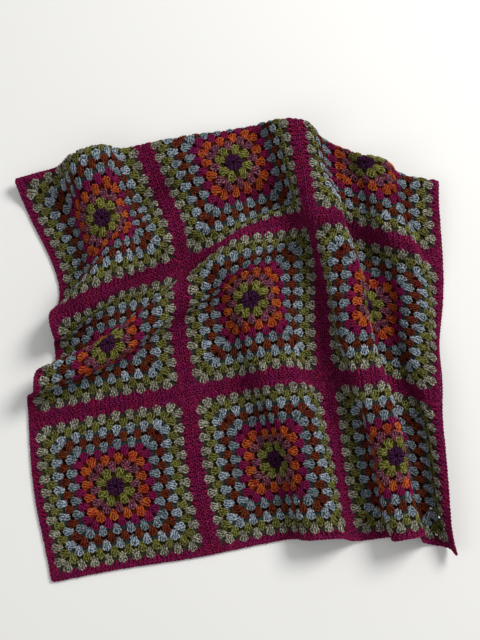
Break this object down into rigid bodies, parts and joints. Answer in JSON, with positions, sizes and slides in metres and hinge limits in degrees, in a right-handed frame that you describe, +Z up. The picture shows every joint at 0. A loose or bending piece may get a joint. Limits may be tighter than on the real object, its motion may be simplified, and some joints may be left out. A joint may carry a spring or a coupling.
{
  "type": "granny square blanket",
  "caption": "Square crochet blanket of granny squares with joining strips and an edging, laid out in soft folds with its far edge tucked under at a slant",
  "frame": {"origin": "on the surface the blanket lies on, under the middle of its outline", "axes": "+Z up from the surface; +X to the right and +Y away from the front edge, which runs up to the right by about 9 degrees"},
  "size_m": [1.2125, 1.2651, 0.1516],
  "materials": {
    "magenta_yarn": "matt bulky wool yarn, deep magenta, slightly heathered",
    "aubergine_yarn": "matt bulky wool yarn, dark purple",
    "lime_yarn": "matt bulky wool yarn, heathered lime green",
    "plum_yarn": "matt bulky wool yarn, heathered dusty plum",
    "orange_yarn": "matt bulky wool yarn, burnt orange",
    "rust_yarn": "matt bulky wool yarn, rust brown",
    "blue_yarn": "matt bulky wool yarn, heathered light blue",
    "olive_yarn": "matt bulky wool yarn, heathered olive green",
    "oatmeal_yarn": "matt bulky wool yarn, speckled grey beige"
  },
  "bodies": {
    "root": {"blanket": "magenta_yarn"}
  },
  "joints": []
}
